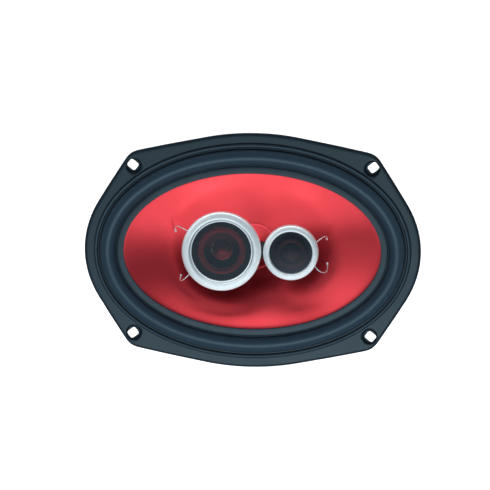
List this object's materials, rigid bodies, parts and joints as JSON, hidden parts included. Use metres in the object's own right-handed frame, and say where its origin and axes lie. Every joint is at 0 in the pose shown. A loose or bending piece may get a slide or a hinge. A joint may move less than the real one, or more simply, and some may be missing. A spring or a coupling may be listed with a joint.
{
  "type": "coaxial car speaker",
  "caption": "Oval coaxial three-way car speaker: a red woofer cone in a black stamped frame, with a midrange and a tweeter in silver rings on a bridge over it.",
  "frame": {"origin": "centre of the four screw holes, on the plane that the frame's rolled rim is bolted against", "axes": "+Z out of the front, the way the sound goes; +X along the long axis, from the midrange to the tweeter"},
  "size_m": [0.2364, 0.1658, 0.0817],
  "materials": {
    "black_steel": "satin black powder coat with a slight blue cast",
    "gasket_foam": "matt black moulded gasket",
    "surround_rubber": "matt black rubberised half roll",
    "spider_cloth": "resin-dipped woven cloth",
    "zinc_plate": "zinc-plated turned steel",
    "ferrite": "ground strontium ferrite",
    "fastener_steel": "zinc-plated",
    "black_plastic": "fine moulded grain",
    "silver_trim": "satin silver",
    "black_mesh": "black perforated steel",
    "motor_steel": "nickel-plated",
    "neodymium": "nickel-plated magnet",
    "midrange_cloth": "coated cloth, dark red",
    "capacitor_sleeve": "dark blue shrink sleeve",
    "fibre_board": "pressed fibre board",
    "brass_tab": "stamped brass",
    "tinned_tab": "tin-plated",
    "tinned_wire": "tinned braid",
    "copper_braid": "copper braid",
    "red_cone": "metallic red film on a moulded cone",
    "former_film": "amber heat-proof film",
    "copper_wire": "enamelled copper wire",
    "red_diaphragm": "metallic red film"
  },
  "bodies": {
    "frame": {"basket": "black_steel", "front_gasket": "gasket_foam", "surround": "surround_rubber", "spider": "spider_cloth", "top_plate": "zinc_plate", "back_plate": "zinc_plate", "magnet": "ferrite", "plate_rivets": "fastener_steel", "post_screw": "fastener_steel", "terminal_rivets": "fastener_steel", "centre_post": "black_plastic", "bridge": "black_plastic", "mid_housing": "black_plastic", "tweeter_housing": "black_plastic", "mid_trim_ring": "silver_trim", "tweeter_trim_ring": "silver_trim", "mid_bezel_ring": "silver_trim", "mid_grille": "black_mesh", "tweeter_grille": "black_mesh", "mid_yoke": "motor_steel", "tweeter_yoke": "motor_steel", "mid_top_plate": "motor_steel", "tweeter_top_plate": "motor_steel", "mid_magnet": "neodymium", "tweeter_magnet": "neodymium", "mid_surround": "midrange_cloth", "mid_capacitor": "capacitor_sleeve", "tweeter_capacitor": "capacitor_sleeve", "terminal_board": "fibre_board", "terminal_tab_positive": "brass_tab", "terminal_tab_negative": "tinned_tab", "lead_mid_upper": "tinned_wire", "lead_mid_lower": "tinned_wire", "lead_tweeter_upper": "tinned_wire", "lead_tweeter_lower": "tinned_wire", "tinsel_lead_positive": "copper_braid", "tinsel_lead_negative": "copper_braid"},
    "woofer_cone": {"cone": "red_cone", "cone_eyelets": "tinned_wire", "voice_coil_former": "former_film", "voice_coil_winding": "copper_wire", "dust_ring": "red_cone"},
    "midrange_cone": {"mid_cone": "red_diaphragm", "mid_dust_cap": "red_diaphragm", "mid_coil": "copper_wire"},
    "tweeter_diaphragm": {"tweeter_dome": "red_diaphragm", "tweeter_coil": "copper_wire"}
  },
  "joints": [
    {"name": "cone_travel", "type": "slide", "parent": "frame", "child": "woofer_cone", "axis": [0, 0, 1], "range_m": [-0.004, 0.004], "stiffness_N_per_m": 2800, "deforming": ["surround", "spider", "lead_mid_upper", "lead_mid_lower", "lead_tweeter_upper", "lead_tweeter_lower", "tinsel_lead_positive", "tinsel_lead_negative"]},
    {"name": "midrange_travel", "type": "slide", "parent": "frame", "child": "midrange_cone", "axis": [0, 0, 1], "range_m": [-0.0006, 0.0006], "stiffness_N_per_m": 500, "deforming": ["mid_surround"]},
    {"name": "tweeter_travel", "type": "slide", "parent": "frame", "child": "tweeter_diaphragm", "axis": [0, 0, 1], "range_m": [-0.0003, 0.0003], "stiffness_N_per_m": 300}
  ]
}
